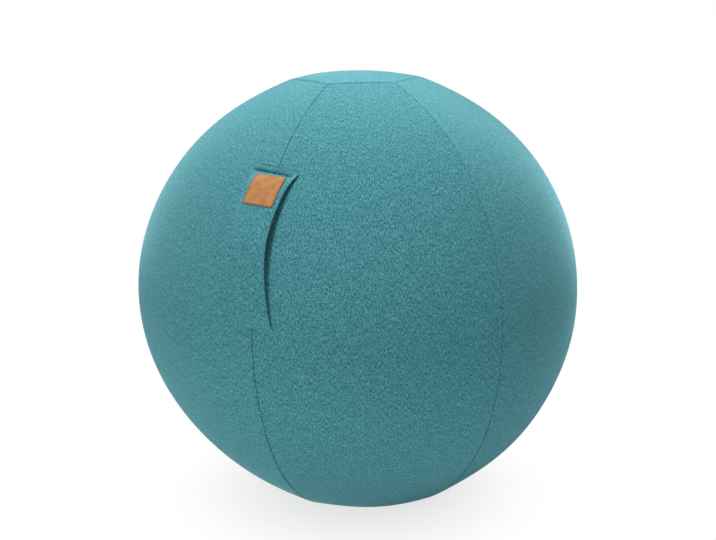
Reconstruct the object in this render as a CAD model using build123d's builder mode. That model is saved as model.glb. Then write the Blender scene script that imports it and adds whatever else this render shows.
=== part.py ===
from build123d import *
import os
from math import acos, asin, cos, degrees, radians, sin, sqrt

os.makedirs("parts", exist_ok=True)

# A sitting ball in a felt cover. Lengths are in millimetres and angles in degrees. +Z is up, the
# floor is z = 0 under the ball's middle, and the carrying strap lies on the seam that faces -Y.
# Azimuth counts from -Y towards +X, and colatitude counts down from the top of the ball.

# Cover: six panels sewn edge to edge, a hexagonal cap on top and a round base
panel_count = 6
panel_radius = 320.5  # outside of a panel on its middle line, from the ball's centre
panel_setback = 68.0  # a panel curves about its own upright axis, this far behind the ball's axis
felt_thickness = 2.5
allowance_depth = 5.0  # how far the turned-in seam edges reach into the ball
allowance_thickness = 1.4
seam_roll = 1.2  # radius at which a panel's edge rolls into the seam
seam_gap = 0.2  # between two pieces that are sewn edge to edge
cap_width = 160.0  # across the flats of the hexagon
rest_patch_radius = 46.0  # the ball's weight flattens this much of the base
base_seam_radius = 110.0  # middle of the round seam between the panels and the base
sewn_panels = 2  # panels at the back that are sewn to the base, the others end at the zip

# Zip in the round seam: two tapes with moulded teeth, a slider with its pull, and a stop
zip_opening = 16.0  # between the hems of the panels and of the base
tape_width = 15.0
tape_thickness = 0.8
tape_edge = 1.4  # from the middle of the chain to the edge of a tape
hem_gap = 0.3  # between a hem and the tape behind it
tooth_pitch = 4.0
tooth_width = 1.5  # along the chain
tooth_height = 2.4  # across the thickness of the tape
tooth_reach = 0.9  # past the middle of the chain
tooth_root = 3.4  # from the middle of the chain to the tooth's foot on the tape
chain_margin = 10.0  # bare tape between the zip's ends and the first and last teeth
stop_length = 3.0
slider_length = 16.0
slider_width = 11.0
slider_wall = 1.2
slider_gap = 0.3  # running gap between the slider and the teeth
slider_slot = 1.5  # height of the slots that the tapes pass through
slider_lip = 1.2  # width of the lips beside those slots
slider_corner = 2.0
wedge_length = 3.0  # the post that parts the two rows of teeth
wedge_width = 2.6
bridge_length = 7.0
bridge_width = 2.2
bridge_wall = 1.3
bridge_hole = 2.2  # height of the hole that the pull's bar passes through
pull_bar = 1.3
pull_length = 28.0
pull_width = 6.4
pull_thickness = 1.2
pull_window_length = 4.6
pull_window_width = 3.4
pull_corner = 2.0
pull_hole = 2.6

# Carrying strap: two layers of felt, bowed away from the ball, with turned-under ends
strap_top = 49.0  # colatitudes of the two sewn ends
strap_bottom = 84.3
strap_rise = 15.0  # of the strap's inner face above the seam ridge, in the middle
strap_wrap = 150.0  # radius about which the strap's ends wrap across their width
strap_width_top = 71.2
strap_width_grip = 58.2
strap_width_bottom = 58.4
strap_shift_top = -2.0  # of the strap's middle line from its seam, to the right
strap_shift_grip = -7.5
strap_shift_bottom = 3.2
face_thickness = 1.8
lining_thickness = 1.2
lining_inset = 2.0
layer_gap = 0.15
anchor_thickness = 1.5
anchor_length = 12.0
anchor_inset = 4.0
anchor_gap = 0.3  # under and over the turned-under ends
patch_length = 45.0
patch_width = 45.0
patch_thickness = 1.3
patch_setback = 7.0  # from the strap's top edge
patch_shift = -5.6  # from the strap's seam, to the right
patch_corner = 2.0

# Inner ball with its valve
bladder_gap = 0.4  # between the inner ball and the felt
bladder_wall = 0.9
dent_width = 58.0  # the inner ball is pressed in behind the zip
dent_depth = 4.6
allowance_gap = 0.2  # between the seam allowances and the inner ball
valve_distance = 64.0  # of the valve from the ball's axis
valve_azimuth = 180.0
boss_radius = 12.0
boss_depth = 9.0
boss_inset = 0.3
valve_recess_radius = 8.6
valve_recess_depth = 2.4
valve_bore = 9.4
plug_gap = 0.1  # between the plug and its bore and recess
plug_head_thickness = 1.6
plug_barb = 0.8  # how far the barb stands out behind the boss
plug_length = 17.0
plug_nose = 5.6

panel_angle = 360 / panel_count
inner_radius = panel_radius - felt_thickness
bladder_radius = inner_radius - bladder_gap
centre_height = sqrt(panel_radius**2 - rest_patch_radius**2)
centre = Vector(0, 0, centre_height)
up = Vector(0, 0, 1)
beyond = 2 * panel_radius  # reaches past the whole ball
pole_margin = 2.0  # a panel's felt is first drawn this near to the poles, then trimmed

zip_radius = inner_radius - hem_gap - tape_thickness / 2  # of the tapes' middle, from the centre
zip_tilt = degrees(asin(base_seam_radius / zip_radius))
zip_sweep = 360 - sewn_panels * panel_angle
tooth_step = degrees(tooth_pitch / base_seam_radius)
chain_start = degrees(chain_margin / base_seam_radius) - zip_sweep / 2
slider_sweep = degrees(slider_length / base_seam_radius)
slider_front = -chain_start - degrees((stop_length / 2 + slider_gap) / base_seam_radius)
wedge_middle = slider_front - degrees(wedge_length / base_seam_radius)
chain_end = wedge_middle - degrees((wedge_length + tooth_pitch / 2) / base_seam_radius)


def heading(azimuth):
    """Level direction from the ball's axis."""
    return Vector(sin(radians(azimuth)), -cos(radians(azimuth)), 0)


def upright_plane(origin, azimuth):
    """Plane whose x is the level direction at that azimuth and whose y is up."""
    return Plane(origin=origin, x_dir=heading(azimuth), z_dir=heading(azimuth).cross(up))


def ring_sector(plane, middle, inner, outer, start, sweep):
    """Face between two arcs about one middle point."""
    with BuildSketch(plane) as sector:
        with BuildLine():
            outside = CenterArc(middle, outer, start, sweep)
            inside = CenterArc(middle, inner, start, sweep)
            Line(outside @ 0, inside @ 0)
            Line(outside @ 1, inside @ 1)
        make_face()
    return sector.sketch


def panel_layer(middle_azimuth, inner, outer):
    """Felt layer of one panel between two radii, still wider than the panel, with its own axis."""
    axis_foot = centre - heading(middle_azimuth) * panel_setback
    start = upright_plane(axis_foot, middle_azimuth - panel_angle / 2)
    band = ring_sector(start, (panel_setback, 0), inner, outer, pole_margin - 90, 180 - 2 * pole_margin)
    return band, Axis(axis_foot, up)


def wedge_outline(middle_azimuth, inset):
    """Plan of one panel's sixth of the ball, drawn in from both seams."""
    half = panel_angle / 2
    apex = heading(middle_azimuth) * (inset / sin(radians(half)))
    with BuildSketch() as wedge:
        with BuildLine():
            Polyline(
                apex,
                apex + heading(middle_azimuth - half) * beyond,
                apex + heading(middle_azimuth) * beyond,
                apex + heading(middle_azimuth + half) * beyond,
                close=True,
            )
        make_face()
    return wedge.sketch


def tangent_angle(radius, distance, along=0.0):
    """Angle in an upright plane of the point low on the ball that lies this far from the axis."""
    return degrees(asin(distance / radius) + along / radius) - 90


def zip_section(azimuth):
    """Plane across the zip: x lies in the tape, away from the axis, and y points out of the ball."""
    outward = heading(azimuth) * sin(radians(zip_tilt)) - up * cos(radians(zip_tilt))
    across = heading(azimuth) * cos(radians(zip_tilt)) + up * sin(radians(zip_tilt))
    return Plane(origin=centre + outward * zip_radius, x_dir=across, z_dir=across.cross(outward))


def ridge_radius(colatitude):
    """Distance from the ball's centre to the ridge where two panels meet."""
    half = radians(panel_angle / 2)
    low = panel_radius
    high = panel_radius + panel_setback
    while high - low > 1e-6:
        radius = (low + high) / 2
        level = radius * sin(radians(colatitude))
        from_axis = sqrt((level + panel_setback * cos(half)) ** 2 + (panel_setback * sin(half)) ** 2)
        out_of_panel = (from_axis - panel_setback) ** 2 + (radius * cos(radians(colatitude))) ** 2
        if out_of_panel > panel_radius**2:
            high = radius
        else:
            low = radius
    return low


def strap_point(colatitude, lift):
    """Point above the ridge of the strap's seam."""
    radius = ridge_radius(colatitude) + lift
    level = heading(0) * (radius * sin(radians(colatitude)))
    return centre + level + up * (radius * cos(radians(colatitude)))


# Top cap: a low dome of felt with six straight edges
with BuildPart() as top_cap:
    dome_reach = degrees(asin(cap_width / panel_radius))
    dome = ring_sector(
        upright_plane(centre, 0), (0, 0), inner_radius, panel_radius, 90 - dome_reach, dome_reach
    )
    revolve(dome, axis=Axis.Z)
    with BuildSketch():
        RegularPolygon((cap_width - seam_gap) / 2, panel_count, major_radius=False, rotation=-90)
    extrude(amount=2 * beyond, mode=Mode.INTERSECT)
    fillet(top_cap.faces().sort_by(SortBy.AREA)[-1].edges(), radius=seam_roll)
top_cap.part.label = "top_cap"
export_step(top_cap.part, "parts/top_cap.step")

# The space between a panel's two turned-in edges, for a panel that faces -Y
with BuildPart() as panel_hollow:
    band, panel_axis = panel_layer(0, inner_radius - 2 * allowance_depth, inner_radius)
    revolve(band, axis=panel_axis, revolution_arc=panel_angle)
    extrude(wedge_outline(0, allowance_thickness), amount=beyond, mode=Mode.INTERSECT)

# One panel that faces -Y, reaching down to the seam with the base
with BuildPart() as panel_pattern:
    band, panel_axis = panel_layer(0, inner_radius - allowance_depth, panel_radius)
    revolve(band, axis=panel_axis, revolution_arc=panel_angle)
    extrude(wedge_outline(0, 0), amount=beyond, mode=Mode.INTERSECT)
    with BuildSketch(Plane.XY.offset(centre_height)):
        hexagon_turn = panel_angle / 2 - 90
        RegularPolygon((cap_width + seam_gap) / 2, panel_count, major_radius=False, rotation=hexagon_turn)
    extrude(amount=beyond, mode=Mode.SUBTRACT)
    with BuildSketch():
        Circle(base_seam_radius + seam_gap / 2)
    extrude(amount=centre_height, mode=Mode.SUBTRACT)
    outside = panel_pattern.faces().sort_by(SortBy.AREA)[-1]
    fillet(outside.edges().sort_by(SortBy.LENGTH)[-2:], radius=seam_roll)
    add(panel_hollow.part, mode=Mode.SUBTRACT)
    with Locations(centre):
        Sphere(bladder_radius + allowance_gap, mode=Mode.SUBTRACT)

# Six panels, numbered to the right from the strap's seam. Those at the zip end in a shorter hem
for number in range(1, panel_count + 1):
    middle_azimuth = (number - 0.5) * panel_angle
    with BuildPart() as panel:
        add(panel_pattern.part.rotate(Axis.Z, middle_azimuth))
        if abs(middle_azimuth - 180) > sewn_panels * panel_angle / 2:
            with BuildSketch():
                Circle(base_seam_radius + zip_opening / 2)
            extrude(amount=centre_height, mode=Mode.SUBTRACT)
    panel.part.label = f"cover_panel_{number}"
    export_step(panel.part, f"parts/cover_panel_{number}.step")

# Base panel: a dish, flat where it stands, cut back along the zip
with BuildPart() as base_panel:
    edge_angle = tangent_angle(panel_radius, base_seam_radius - seam_gap / 2)
    rim_angle = tangent_angle(panel_radius, rest_patch_radius)
    inner_rim_radius = sqrt(inner_radius**2 - (centre_height - felt_thickness) ** 2)
    inner_rim_angle = tangent_angle(inner_radius, inner_rim_radius)
    with BuildSketch(upright_plane(centre, 0)):
        with BuildLine():
            outside = CenterArc((0, 0), panel_radius, rim_angle, edge_angle - rim_angle)
            inside = CenterArc((0, 0), inner_radius, inner_rim_angle, edge_angle - inner_rim_angle)
            Line(outside @ 1, inside @ 1)
            Polyline(
                inside @ 0,
                (0, felt_thickness - centre_height),
                (0, -centre_height),
                outside @ 0,
            )
        make_face()
    revolve(axis=Axis.Z)
    zip_cut = ring_sector(
        Plane.XY,
        (0, 0),
        base_seam_radius - zip_opening / 2,
        base_seam_radius + zip_opening / 2,
        -90 - zip_sweep / 2,
        zip_sweep,
    )
    extrude(zip_cut, amount=centre_height, mode=Mode.SUBTRACT)
base_panel.part.label = "base_panel"
export_step(base_panel.part, "parts/base_panel.step")

# Zip tapes with their rows of teeth. The rows mesh: one lies half a pitch along from the other
tooth_count = int((chain_end - chain_start) / tooth_step)
half_tape = tape_thickness / 2
for side, name, lag in ((1, "zip_stringer_panels", 0.0), (-1, "zip_stringer_base", 0.5)):
    tape_angles = sorted(
        tangent_angle(zip_radius, base_seam_radius, side * along)
        for along in (tape_edge, tape_edge + tape_width)
    )
    teeth = [zip_section(chain_start + (place + lag) * tooth_step) for place in range(tooth_count)]
    stop = zip_section(-chain_start)
    with BuildPart() as stringer:
        tape = ring_sector(
            upright_plane(centre, -zip_sweep / 2),
            (0, 0),
            zip_radius - half_tape,
            zip_radius + half_tape,
            tape_angles[0],
            tape_angles[1] - tape_angles[0],
        )
        revolve(tape, axis=Axis.Z, revolution_arc=zip_sweep)
        with BuildSketch(*teeth):
            with Locations((side * (tooth_root - tooth_reach) / 2, 0)):
                Rectangle(tooth_root + tooth_reach, tooth_height)
        extrude(amount=tooth_width / 2, both=True)
        with BuildSketch(stop):
            with Locations((side * (tape_edge + tooth_root) / 2, 0)):
                Rectangle(tooth_root, tooth_height)
        extrude(amount=stop_length / 2, both=True)
    stringer.part.label = name
    export_step(stringer.part, f"parts/{name}.step")

# Clip across both tapes where the zip ends, with a web in the gap between them
with BuildPart() as zip_bottom_stop:
    clip_centre = chain_start - degrees(stop_length / base_seam_radius)
    with BuildSketch(zip_section(clip_centre)):
        Rectangle(2 * (tape_edge - seam_gap), tooth_height)
        leaf_height = (tooth_height - slider_slot) / 2
        with Locations((0, (slider_slot + leaf_height) / 2), (0, -(slider_slot + leaf_height) / 2)):
            Rectangle(2 * tooth_root, leaf_height)
    extrude(amount=stop_length / 2, both=True)
zip_bottom_stop.part.label = "zip_bottom_stop"
export_step(zip_bottom_stop.part, "parts/zip_bottom_stop.step")

# Zip slider at the closed end: two plates joined by the wedge that parts the teeth, and a bridge
slider_middle = slider_front - slider_sweep / 2
channel = tooth_height / 2 + slider_gap
corner_sweep = degrees(slider_corner / base_seam_radius)
with BuildPart() as zip_slider:
    with BuildSketch(zip_section(slider_front - slider_sweep)):
        with Locations((0, channel + slider_wall / 2), (0, -channel - slider_wall / 2)):
            Rectangle(slider_width, slider_wall)
    revolve(axis=Axis.Z, revolution_arc=slider_sweep)
    plate_corners = zip_slider.edges().filter_by(GeomType.LINE).filter_by(
        lambda edge: abs(edge.length - slider_wall) < 1e-3
    )
    fillet(plate_corners, radius=slider_corner)
    with BuildSketch(zip_section(slider_front - slider_sweep + corner_sweep)):
        lip_height = channel - slider_slot / 2
        lip_place = (slider_width - slider_lip) / 2
        lip_level = slider_slot / 2 + lip_height / 2
        with GridLocations(2 * lip_place, 2 * lip_level, 2, 2):
            Rectangle(slider_lip, lip_height)
    revolve(axis=Axis.Z, revolution_arc=slider_sweep - 2 * corner_sweep)
    with BuildSketch(zip_section(wedge_middle)):
        Rectangle(wedge_width, 2 * channel + slider_wall)
    extrude(amount=wedge_length / 2, both=True)
    across = zip_section(slider_middle)
    plate_top = across.origin + across.y_dir * (channel + slider_wall)
    with BuildSketch(Plane(origin=plate_top, x_dir=across.z_dir, z_dir=-across.x_dir)):
        bridge_foot = slider_wall / 2
        with Locations((0, (bridge_hole + bridge_wall - bridge_foot) / 2)):
            Rectangle(bridge_length, bridge_hole + bridge_wall + bridge_foot)
        with Locations((0, bridge_hole / 2)):
            Rectangle(bridge_length - 2 * bridge_wall, bridge_hole, mode=Mode.SUBTRACT)
    extrude(amount=bridge_width / 2, both=True)
zip_slider.part.label = "zip_slider"
export_step(zip_slider.part, "parts/zip_slider.step")

# Zip pull: a bar through the bridge, two arms past it, and a flat grip lying back along the chain
pull_pivot = plate_top + across.y_dir * (bridge_hole / 2)
with BuildPart() as zip_pull:
    with BuildSketch(Plane(origin=pull_pivot, x_dir=-across.z_dir, z_dir=across.y_dir)):
        with Locations((pull_length / 2, 0)):
            RectangleRounded(pull_length, pull_width, pull_corner)
        with Locations((pull_window_length / 2, 0)):
            Rectangle(pull_window_length, pull_window_width, mode=Mode.SUBTRACT)
        with Locations((pull_length - pull_width / 2, 0)):
            Circle(pull_hole / 2, mode=Mode.SUBTRACT)
    extrude(amount=pull_thickness / 2, both=True)
    with BuildSketch(Plane(origin=pull_pivot, x_dir=across.z_dir, z_dir=across.x_dir)):
        Circle(pull_bar / 2)
    extrude(amount=pull_width / 2, both=True)
zip_pull.part.label = "zip_pull"
export_step(zip_pull.part, "parts/zip_pull.step")

# Carrying strap. Its section is an arc over the chord between the two sewn ends
end_lift = 2 * anchor_gap + anchor_thickness
strap_ends = [strap_point(colatitude, end_lift) for colatitude in (strap_top, strap_bottom)]
chord = strap_ends[1] - strap_ends[0]
chord_middle = (strap_ends[0] + strap_ends[1]) * 0.5
along_strap = chord.normalized()
strap_normal = along_strap.cross(Vector(1, 0, 0))
strap_crest = strap_point((strap_top + strap_bottom) / 2, strap_rise)
bow_height = (strap_crest - chord_middle).dot(strap_normal)
bow_radius = (chord.length**2 / 4 + bow_height**2) / (2 * bow_height)
bow_half_angle = degrees(asin(chord.length / 2 / bow_radius))
wrap_axis = Axis(chord_middle - strap_normal * strap_wrap, along_strap)
bow_middle = (0, strap_wrap + bow_height - bow_radius)
strap_plan = Plane(origin=chord_middle, x_dir=along_strap, z_dir=strap_normal)


def wrapped_layer(inner, outer, start, sweep, half_width, shift=0.0):
    """Layer of the strap: an arc band, turned about the wrap axis to both sides of its middle."""
    level = bow_middle[1] + outer * sin(radians(start + sweep / 2))
    half_turn = degrees(asin(half_width / level))
    shift_turn = degrees(asin(shift / level))
    section_normal = Vector(-1, 0, 0).rotate(wrap_axis, -half_turn - shift_turn)
    section = Plane(wrap_axis.position, x_dir=along_strap, z_dir=section_normal)
    band = ring_sector(section, bow_middle, inner, outer, start, sweep)
    return band, 2 * half_turn


def strap_outline(inset):
    """Plan of the strap, swung to one side at the grip and straight past its two ends."""
    past_ends = Vector(bow_height, 0)
    with BuildSketch(strap_plan) as outline:
        with BuildLine():
            edges = [
                ThreePointArc(
                    (-chord.length / 2, strap_shift_top + side * (strap_width_top / 2 - inset)),
                    (0, strap_shift_grip + side * (strap_width_grip / 2 - inset)),
                    (chord.length / 2, strap_shift_bottom + side * (strap_width_bottom / 2 - inset)),
                )
                for side in (1, -1)
            ]
            for edge in edges:
                Line(edge @ 0, edge @ 0 - past_ends)
                Line(edge @ 1, edge @ 1 + past_ends)
            Line(edges[0] @ 0 - past_ends, edges[1] @ 0 - past_ends)
            Line(edges[0] @ 1 + past_ends, edges[1] @ 1 + past_ends)
        make_face()
    return outline.sketch


lining_outside = bow_radius + lining_thickness
face_inside = lining_outside + layer_gap
face_outside = face_inside + face_thickness
for name, inner, outer, inset in (
    ("strap_lining", bow_radius, lining_outside, lining_inset),
    ("strap_face", face_inside, face_outside, 0.0),
):
    with BuildPart() as strap_layer:
        band, turn = wrapped_layer(
            inner, outer, 90 - bow_half_angle, 2 * bow_half_angle, strap_width_top
        )
        revolve(band, axis=wrap_axis, revolution_arc=turn)
        extrude(strap_outline(inset), amount=beyond, both=True, mode=Mode.INTERSECT)
    strap_layer.part.label = name
    export_step(strap_layer.part, f"parts/{name}.step")

# Leather patch on the strap, just below its top seam
with BuildPart() as leather_patch:
    patch_inside = face_outside + layer_gap
    patch_start = 90 + bow_half_angle - degrees(patch_setback / patch_inside)
    patch_sweep = degrees(patch_length / patch_inside)
    patch_outside = patch_inside + patch_thickness
    band, turn = wrapped_layer(
        patch_inside, patch_outside, patch_start, -patch_sweep, patch_width / 2, patch_shift
    )
    revolve(band, axis=wrap_axis, revolution_arc=turn)
    corners = leather_patch.edges().filter_by(
        lambda edge: abs(edge.length - patch_thickness) < 1e-3
    )
    fillet(corners, radius=patch_corner)
leather_patch.part.label = "leather_patch"
export_step(leather_patch.part, "parts/leather_patch.step")

# Ends of the strap, turned under and sewn flat on the two panels beside the seam
for name, end, inward in (("strap_end_top", 0, 1), ("strap_end_bottom", 1, -1)):
    width = (strap_width_top, strap_width_bottom)[end] - 2 * anchor_inset
    outward = (strap_ends[end] - centre).normalized()
    footprint = Plane(
        origin=centre + Vector((strap_shift_top, strap_shift_bottom)[end], 0, 0),
        x_dir=outward.cross(Vector(1, 0, 0)) * -inward,
        z_dir=outward,
    )
    halves = []
    for middle_azimuth in (panel_angle / 2, -panel_angle / 2):
        with BuildPart() as half:
            band, panel_axis = panel_layer(
                middle_azimuth, panel_radius + anchor_gap, panel_radius + anchor_gap + anchor_thickness
            )
            revolve(band, axis=panel_axis, revolution_arc=panel_angle)
            extrude(wedge_outline(middle_azimuth, 0), amount=beyond, mode=Mode.INTERSECT)
            with BuildSketch(footprint):
                with Locations((anchor_length / 2, 0)):
                    Rectangle(anchor_length, width)
            extrude(amount=beyond, mode=Mode.INTERSECT)
        halves.append(half.part)
    with BuildPart() as strap_end:
        add(halves)
    strap_end.part.label = name
    export_step(strap_end.part, f"parts/{name}.step")


def bladder_section(inset):
    """Half section of the inner ball: flat at the floor and pressed in behind the zip."""
    radius = bladder_radius - inset
    floor = felt_thickness + bladder_gap + inset - centre_height
    rim = degrees(acos(-floor / radius)) - 90
    dent_low = tangent_angle(radius, base_seam_radius, -dent_width / 2)
    dent_high = tangent_angle(radius, base_seam_radius, dent_width / 2)
    dent_middle = radians((dent_low + dent_high) / 2)
    dent_radius = radius - dent_depth
    with BuildSketch(upright_plane(centre, 0)) as section:
        with BuildLine():
            crown = CenterArc((0, 0), radius, dent_high, 90 - dent_high)
            sole = CenterArc((0, 0), radius, rim, dent_low - rim)
            ThreePointArc(
                sole @ 1,
                (dent_radius * cos(dent_middle), dent_radius * sin(dent_middle)),
                crown @ 0,
            )
            Polyline(crown @ 1, (0, floor), sole @ 0)
        make_face()
    return section.sketch


valve_tilt = asin(valve_distance / bladder_radius)
valve_out = heading(valve_azimuth) * sin(valve_tilt) - up * cos(valve_tilt)
valve_across = heading(valve_azimuth + 90)
valve_mouth = Plane(centre + valve_out * bladder_radius, x_dir=valve_across, z_dir=valve_out)
with BuildPart() as inner_ball:
    revolve(bladder_section(0), axis=Axis.Z)
    revolve(bladder_section(bladder_wall), axis=Axis.Z, mode=Mode.SUBTRACT)
    with BuildSketch(valve_mouth.offset(-boss_inset)):
        Circle(boss_radius)
    extrude(amount=-boss_depth)
    with BuildSketch(valve_mouth):
        Circle(valve_recess_radius)
    extrude(amount=-valve_recess_depth, mode=Mode.SUBTRACT)
    with BuildSketch(valve_mouth):
        Circle(valve_bore / 2)
    extrude(amount=-2 * boss_depth, mode=Mode.SUBTRACT)
inner_ball.part.label = "inner_ball"
export_step(inner_ball.part, "parts/inner_ball.step")

# Valve plug: a flat head in the recess, a shank in the bore and a barb behind the boss
with BuildPart() as valve_plug:
    shank_radius = valve_bore / 2 - plug_gap
    barb_level = -boss_inset - boss_depth - plug_gap
    with BuildSketch(Plane(valve_mouth.origin, x_dir=valve_across, z_dir=valve_across.cross(valve_out))):
        with BuildLine():
            Polyline(
                (0, plug_head_thickness - valve_recess_depth),
                (valve_recess_radius - plug_gap, plug_head_thickness - valve_recess_depth),
                (valve_recess_radius - plug_gap, -valve_recess_depth),
                (shank_radius, -valve_recess_depth),
                (shank_radius, barb_level),
                (valve_bore / 2 + plug_barb, barb_level),
                (plug_nose / 2, -plug_length),
                (0, -plug_length),
                close=True,
            )
        make_face()
    revolve(axis=Axis(valve_mouth.origin, valve_out))
valve_plug.part.label = "valve_plug"
export_step(valve_plug.part, "parts/valve_plug.step")
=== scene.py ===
import math

import bmesh
import bpy
import numpy as np
from mathutils import Matrix, Vector


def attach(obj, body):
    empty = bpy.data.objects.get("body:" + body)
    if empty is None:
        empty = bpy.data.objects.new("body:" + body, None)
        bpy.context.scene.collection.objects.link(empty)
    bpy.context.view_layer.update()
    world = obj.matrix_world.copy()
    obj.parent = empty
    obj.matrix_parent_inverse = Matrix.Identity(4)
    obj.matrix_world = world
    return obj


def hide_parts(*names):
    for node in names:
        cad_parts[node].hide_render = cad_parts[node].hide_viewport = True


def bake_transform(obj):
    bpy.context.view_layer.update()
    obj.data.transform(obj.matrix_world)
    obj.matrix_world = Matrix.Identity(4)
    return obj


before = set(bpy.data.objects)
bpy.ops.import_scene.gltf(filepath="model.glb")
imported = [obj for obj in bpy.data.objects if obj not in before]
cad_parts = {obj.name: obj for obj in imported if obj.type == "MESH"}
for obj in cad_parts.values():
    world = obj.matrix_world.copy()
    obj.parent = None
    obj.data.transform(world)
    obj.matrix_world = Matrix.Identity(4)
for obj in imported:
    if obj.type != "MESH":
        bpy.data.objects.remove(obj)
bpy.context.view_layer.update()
print("frame loaded:", len(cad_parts), "CAD nodes")

# metres; the floor is z = 0 and the carrying strap lies on the seam that faces -Y
cover = {
    "radius": 0.3205,       # outside of a panel on its middle line
    "setback": 0.068,       # a panel curves about an axis this far behind the ball's
    "panels": 6,
    "restRadius": 0.046,    # flattened by the weight
    "capHalf": 0.080,       # half the hexagon across its flats
    "seamRadius": 0.110,    # round seam at the base
    "zipHalf": 0.008,       # from that seam to the hems beside the zip
    "zipEnd": 120.0,        # the zip runs to this azimuth on both sides
    "seamGap": 0.0003,
    "sewnGap": 0.0001,      # to each side of the round seam where there is no zip
    "roll": 0.0020,         # the felt rolls into its seams at this radius
    "capRoll": 0.0030,      # and into the cap's thicker seam at this one
    "tuck": 0.0010,         # and is turned in this much further
    "felt": 0.0011,         # thickness drawn, inwards
    "mesh": 0.0055,         # spacing of the mesh's rows
    "columns": 61,          # across a panel
    "panelLength": 0.82,    # from hem to cap
    "cutShift": (0.37, 0.53),   # each panel is cut from another place of the cloth
}
panelTurn = 360 / cover["panels"]       # degrees from seam to seam
halfTurn = math.pi / cover["panels"]
up = np.array((0.0, 0.0, 1.0))
centre = up * math.sqrt(cover["radius"] ** 2 - cover["restRadius"] ** 2)

# where the filled cover stands proud of a true ball or lies flatter, and where a seam strays sideways:
# azimuth, colatitude and reach in degrees, then metres
swells = [
    (34, 149, 15, 0.0074),
    (88, 129, 20, 0.0040),
    (-40, 126, 24, -0.0036),
    (-62, 60, 24, -0.0022),
    (116, 47, 22, -0.0024),
    (101, 101, 14, 0.0018),
]
strays = [(0, 108, 30, 0.0052), (60, 100, 26, -0.0042)]
# where a seam is flatter or deeper: the same angles, then the share by which its depth changes
seamPulls = [(60, 38, 30, -0.65), (0, 36, 22, 0.6), (0, 132, 24, 0.7)]
zipHold = (147, 156.5)      # between these colatitudes the zip takes hold, below them the circle is true
capRim = {"side": 0.0028, "corner": 0.0042, "reach": 0.070}     # the cap's seams hold its rim nearly level


def heading(azimuth):
    a = math.radians(azimuth)
    return np.array((math.sin(a), -math.cos(a), 0.0))


def outFrom(points):
    away = points - centre
    return away / np.linalg.norm(away, axis=-1, keepdims=True)


def nearby(away, azimuth, colatitude, reach):  # 1 at a place of the ball, dying away round it
    c = math.radians(colatitude)
    aim = heading(azimuth) * math.sin(c) + up * math.cos(c)
    angle = np.degrees(np.arccos(np.clip(away @ aim, -1, 1)))
    return np.exp(-((angle / reach) ** 2))[..., None]


def strayOf(points):
    away = outFrom(points)
    return sum(heading(azimuth + 90) * amount * nearby(away, azimuth, colatitude, reach)
               for azimuth, colatitude, reach, amount in strays)


def seamDepth(points):
    away = outFrom(points)
    return 1 + sum(amount * nearby(away, azimuth, colatitude, reach)
                   for azimuth, colatitude, reach, amount in seamPulls)


def rimRise(points):
    half = cover["capHalf"]
    flats = np.stack([points[..., :2] @ heading(panelTurn * (k + 0.5))[:2] for k in range(cover["panels"])])
    hexagon = flats.max(0)
    beside = np.sqrt(np.maximum((points[..., :2] ** 2).sum(-1) - hexagon ** 2, 0))
    corner = beside / np.maximum(hexagon * math.tan(halfTurn), 1e-6)
    height = capRim["side"] + (capRim["corner"] - capRim["side"]) * np.clip(corner, 0, 1) ** 2
    inside = np.clip(hexagon / half, 0, 1) ** 2
    outside = np.clip(1 - (hexagon - half) / capRim["reach"], 0, 1) ** 2
    share = np.where(hexagon < half, inside, outside) * (points[..., 2] > centre[2])
    return up * (height * share)[..., None]


def eased(share):
    share = np.clip(share, 0, 1)
    return share * share * (3 - 2 * share)


def settled(points):  # the true ball's points as the filled cover really lies
    away = outFrom(points)
    swell = sum(away * amount * nearby(away, azimuth, colatitude, reach)
                for azimuth, colatitude, reach, amount in swells)
    start, end = zipHold
    free = eased((end - np.degrees(np.arccos(np.clip(away @ up, -1, 1)))) / (end - start))[..., None]
    return points + (swell + strayOf(points)) * free + rimRise(points)


# materials


def linear(hexColour):
    values = [int(hexColour[i:i + 2], 16) / 255 for i in (1, 3, 5)]
    return tuple(v / 12.92 if v <= 0.04045 else ((v + 0.055) / 1.055) ** 2.4 for v in values) + (1.0,)


def addNode(tree, kind, inputs=None, **settings):
    node = tree.nodes.new(kind)
    for name, value in settings.items():
        setattr(node, name, value)
    for name, value in (inputs or {}).items():
        if isinstance(value, bpy.types.NodeSocket):
            tree.links.new(value, node.inputs[name])
        else:
            node.inputs[name].default_value = value
    return node


def newMaterial(name):
    material = bpy.data.materials.new(name)
    material.use_nodes = True
    material.node_tree.nodes.clear()
    return material, material.node_tree


def rampStops(node, stops):
    ramp = node.color_ramp
    while len(ramp.elements) < len(stops):
        ramp.elements.new(0.5)
    for element, (place, colour) in zip(ramp.elements, stops):
        element.position = place
        element.color = linear(colour)
    return node


def finishSurface(tree, shader):
    addNode(tree, "ShaderNodeOutputMaterial", {"Surface": shader.outputs[0]})


waveScale = 6.283   # 1 / size, divided by this, is the Scale at which a wave texture's stripe has that size

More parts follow.
